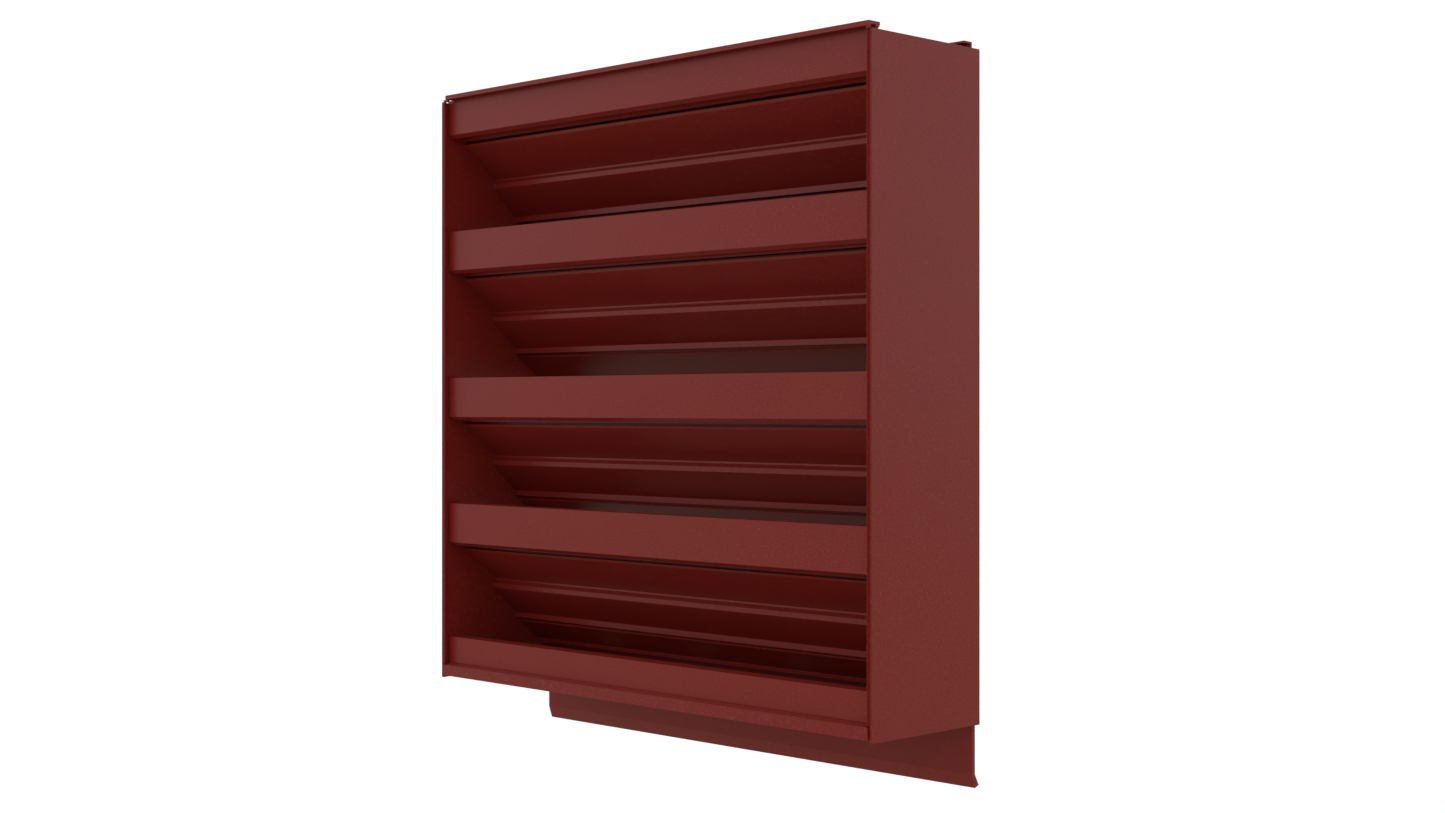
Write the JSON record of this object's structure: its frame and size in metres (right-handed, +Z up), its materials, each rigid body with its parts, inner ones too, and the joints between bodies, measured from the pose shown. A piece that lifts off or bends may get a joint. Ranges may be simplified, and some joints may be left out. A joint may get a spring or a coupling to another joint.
{
  "type": "fixed blade wall louvre",
  "caption": "Square fixed wall louvre with sloping drainable blades in a channel frame, on a sill pan flashing with a kicked drip leg; lets air through a wall and keeps rain out.",
  "frame": {"origin": "centre of the underside of the sill pan, the face that beds on the wall", "axes": "+X along the blades, to the right seen from the upstand side; +Y towards the weather side, where the blades fall to; +Z up"},
  "size_m": [0.607, 0.1582, 0.6803],
  "materials": {
    "frame_and_blade_paint": "satin dark red paint with a fine grain, on aluminium",
    "trim_paint": "satin dark red paint on folded aluminium sheet",
    "painted_weld": "rippled weld fillet under the same paint",
    "sealant": "dull dark red sealant"
  },
  "bodies": {
    "root": {"jamb_right": "frame_and_blade_paint", "jamb_left": "frame_and_blade_paint", "head": "frame_and_blade_paint", "head_blade": "frame_and_blade_paint", "blade_2": "frame_and_blade_paint", "blade_3": "frame_and_blade_paint", "blade_4": "frame_and_blade_paint", "sill": "frame_and_blade_paint", "head_front_rail": "trim_paint", "head_rear_rail": "trim_paint", "sill_pan": "trim_paint", "head_blade_welds": "painted_weld", "blade_2_welds": "painted_weld", "blade_3_welds": "painted_weld", "blade_4_welds": "painted_weld", "head_welds": "painted_weld", "sill_welds": "painted_weld", "sill_face_sealant": "sealant", "pan_bedding_sealant": "sealant", "pan_end_sealant": "sealant"}
  },
  "joints": []
}
